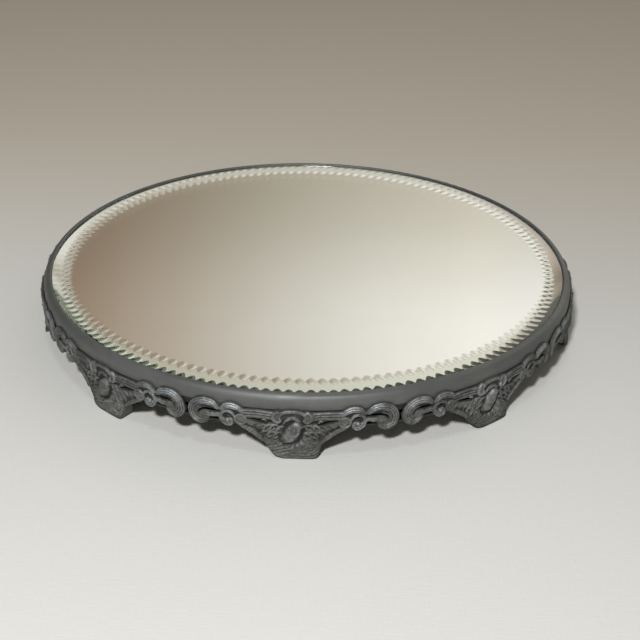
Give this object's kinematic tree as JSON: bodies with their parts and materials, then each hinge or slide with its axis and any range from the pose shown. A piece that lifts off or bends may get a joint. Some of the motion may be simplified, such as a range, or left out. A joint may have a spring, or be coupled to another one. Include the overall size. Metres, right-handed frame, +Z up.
{
  "type": "mirror cake turntable",
  "caption": "Low round bevelled-mirror tray in a smooth metal rim, turning on a ring bearing over an openwork cast gallery with small feet.",
  "frame": {"origin": "on the floor plane under the feet, on the turning axis", "axes": "+Z up along the turning axis; -Y points through the middle of the first foot; +X to its right seen from outside"},
  "size_m": [0.305, 0.305, 0.0353],
  "materials": {
    "glass": "clear plate glass with a ground bevel",
    "silvering": "old silvering, slightly warm",
    "felt": "wool felt",
    "board": "pressed hardboard",
    "rim_metal": "smooth dark pewter patina",
    "gallery_metal": "cast, dark patina rubbed light on the high spots",
    "steel": "dull sheet steel",
    "plate_steel": "black japanned sheet steel",
    "screw_steel": "zinc-plated steel",
    "race_aluminium": "mill-finish aluminium",
    "ball_steel": "polished steel balls",
    "cage_plastic": "natural nylon strip",
    "pad_rubber": "matt black"
  },
  "bodies": {
    "base": {"base_plate": "plate_steel", "inner_race": "race_aluminium", "inner_race_screws": "screw_steel", "casting_screws": "screw_steel", "foot_pads": "pad_rubber", "gallery_casting_1": "gallery_metal", "gallery_casting_2": "gallery_metal", "gallery_casting_3": "gallery_metal", "gallery_casting_4": "gallery_metal", "gallery_casting_5": "gallery_metal", "gallery_casting_6": "gallery_metal", "gallery_casting_7": "gallery_metal", "gallery_casting_8": "gallery_metal", "gallery_casting_9": "gallery_metal"},
    "top": {"mirror_glass": "glass", "silver_backing": "silvering", "cushion_felt": "felt", "backing_board": "board", "rim_moulding": "rim_metal", "board_clips": "steel", "clip_screws": "screw_steel", "outer_race": "race_aluminium", "outer_race_screws": "screw_steel"},
    "cage": {"ball_cage": "cage_plastic", "bearing_balls": "ball_steel"}
  },
  "joints": [
    {"name": "top_spin", "type": "hinge", "parent": "base", "child": "top", "pos_m": [0, 0, 0.0201], "axis": [0, 0, 1], "continuous": true},
    {"name": "cage_spin", "type": "hinge", "parent": "base", "child": "cage", "pos_m": [0, 0, 0.0201], "axis": [0, 0, 1], "continuous": true}
  ],
  "couplings": [
    {"joint": "cage_spin", "follows": "top_spin", "ratio": 0.5}
  ]
}
